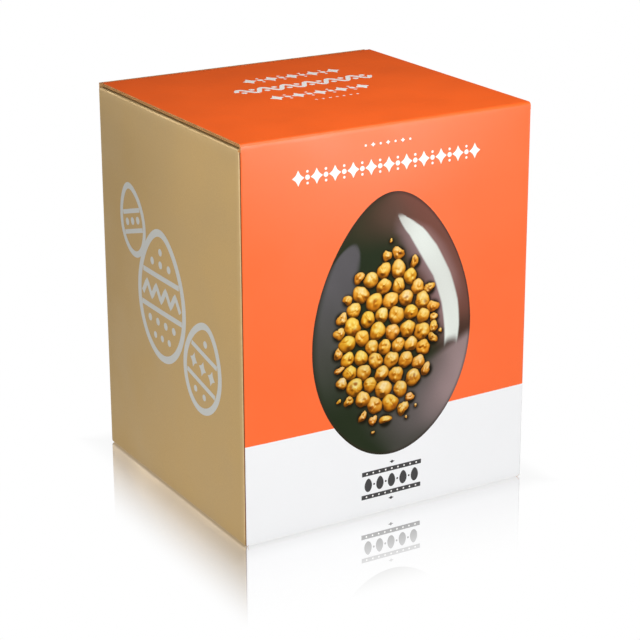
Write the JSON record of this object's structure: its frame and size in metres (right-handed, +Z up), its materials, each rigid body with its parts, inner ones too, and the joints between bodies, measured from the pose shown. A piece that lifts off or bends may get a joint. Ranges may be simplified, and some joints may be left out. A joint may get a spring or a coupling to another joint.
{
  "type": "shut printed sweet gift carton",
  "caption": "Shut folding carton of printed micro-flute board with a folded-over lid, metallic side panels and a printed picture of a chocolate egg with hazelnuts on the front.",
  "frame": {"origin": "centre of the base, on the surface the carton stands on", "axes": "+Z up, height of the carton; -Y is where the wide printed front panel looks; -X and +X are where the two metallic side panels look"},
  "size_m": [0.224, 0.212, 0.27],
  "materials": {
    "printed_board": "satin coated print, warm orange",
    "gold_print": "matte metallic gold ink",
    "white_print": "satin coated white",
    "raw_board": "uncoated brown fluted board",
    "silver_print": "pale silver ink",
    "picture_print": "satin coated print, dark brown egg with golden nuts"
  },
  "bodies": {
    "root": {"carton": "printed_board"}
  },
  "joints": []
}
